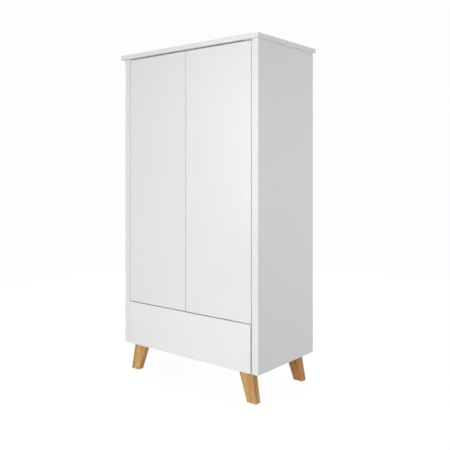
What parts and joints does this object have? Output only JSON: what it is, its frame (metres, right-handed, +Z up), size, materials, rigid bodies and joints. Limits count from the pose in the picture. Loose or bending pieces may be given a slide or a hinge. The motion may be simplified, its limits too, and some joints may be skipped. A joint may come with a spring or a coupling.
{
  "type": "wardrobe with doors",
  "caption": "White wardrobe with inset doors over a full-width drawer, an overhanging top board and splayed tapered oak legs.",
  "frame": {"origin": "on the floor under the middle of the top board", "axes": "+X right, -Y front, +Z up"},
  "size_m": [1.028, 0.566, 1.9],
  "materials": {
    "white_lacquer": "satin white lacquer on MDF",
    "white_hardboard": "white-coated hardboard",
    "birch": "clear-lacquered birch",
    "oak": "oiled solid oak",
    "beech": "raw beech",
    "zinc_steel": "zinc-plated steel",
    "cast_zinc": "die-cast zinc",
    "pin_steel": "turned steel",
    "chromed_steel": "polished chrome",
    "brass": "turned brass",
    "white_nylon": "moulded nylon",
    "grey_plastic": "moulded grey plastic",
    "clear_rubber": "translucent silicone",
    "black_plastic": "moulded black plastic",
    "felt": "pressed brown felt"
  },
  "bodies": {
    "root": {"back_left_leg": "oak", "back_panel": "white_hardboard", "back_right_leg": "oak", "bottom_panel": "white_lacquer", "bottom_pivot_brackets": "zinc_steel", "cabinet_runners": "zinc_steel", "cam_bolts": "zinc_steel", "cam_locks": "cast_zinc", "carcass_screws": "zinc_steel", "centre_partition": "white_lacquer", "door_bumpers": "clear_rubber", "dowels": "beech", "drawer_divider_panel": "white_lacquer", "foot_glides": "felt", "front_left_leg": "oak", "front_right_leg": "oak", "hanging_rail": "chromed_steel", "latch_housings": "grey_plastic", "left_front_post": "white_lacquer", "left_hat_shelf": "white_lacquer", "left_side_panel": "white_lacquer", "leg_bolts": "zinc_steel", "leg_inserts": "brass", "leg_spacers": "black_plastic", "pivot_pins": "pin_steel", "pivot_washers": "white_nylon", "rail_sockets": "chromed_steel", "rear_bottom_rail": "white_lacquer", "rear_top_rail": "white_lacquer", "right_front_post": "white_lacquer", "right_shelf_1": "white_lacquer", "right_shelf_2": "white_lacquer", "right_shelf_3": "white_lacquer", "right_shelf_4": "white_lacquer", "right_side_panel": "white_lacquer", "runner_battens": "white_lacquer", "shelf_pins": "zinc_steel", "top_panel": "white_lacquer", "top_pivot_plates": "zinc_steel", "wall_brackets": "zinc_steel"},
    "left_door": {"left_door": "white_lacquer", "left_door_bushes": "white_nylon", "left_door_strike_plate": "zinc_steel"},
    "right_door": {"right_door": "white_lacquer", "right_door_bushes": "white_nylon", "right_door_strike_plate": "zinc_steel"},
    "drawer": {"drawer_front": "white_lacquer", "drawer_inner_front": "birch", "drawer_left_side": "birch", "drawer_right_side": "birch", "drawer_back": "birch", "drawer_bottom": "birch", "drawer_screws": "zinc_steel", "drawer_runners": "zinc_steel", "drawer_strike_plate": "zinc_steel"},
    "middle_runners": {"middle_runners": "zinc_steel"},
    "left_latch_plunger": {"left_latch_plunger": "grey_plastic"},
    "right_latch_plunger": {"right_latch_plunger": "grey_plastic"},
    "drawer_latch_plunger": {"drawer_latch_plunger": "grey_plastic"}
  },
  "joints": [
    {"name": "left_door_hinge", "type": "hinge", "parent": "root", "child": "left_door", "pos_m": [-0.447, -0.254, 1.1435], "axis": [0, 0, -1], "range_deg": [0, 105]},
    {"name": "right_door_hinge", "type": "hinge", "parent": "root", "child": "right_door", "pos_m": [0.447, -0.254, 1.1435], "axis": [0, 0, 1], "range_deg": [0, 105]},
    {"name": "drawer_slide", "type": "slide", "parent": "root", "child": "drawer", "axis": [0, -1, 0], "range_m": [0, 0.42]},
    {"name": "middle_runner_slide", "type": "slide", "parent": "root", "child": "middle_runners", "axis": [0, -1, 0], "range_m": [0, 0.21]},
    {"name": "left_latch_push", "type": "slide", "parent": "root", "child": "left_latch_plunger", "axis": [0, 1, 0], "range_m": [0, 0.003], "stiffness_N_per_m": 300, "springref_m": -0.002},
    {"name": "right_latch_push", "type": "slide", "parent": "root", "child": "right_latch_plunger", "axis": [0, 1, 0], "range_m": [0, 0.003], "stiffness_N_per_m": 300, "springref_m": -0.002},
    {"name": "drawer_latch_push", "type": "slide", "parent": "root", "child": "drawer_latch_plunger", "axis": [0, 1, 0], "range_m": [0, 0.003], "stiffness_N_per_m": 300, "springref_m": -0.002}
  ],
  "couplings": [
    {"joint": "middle_runner_slide", "follows": "drawer_slide", "ratio": 0.5}
  ]
}
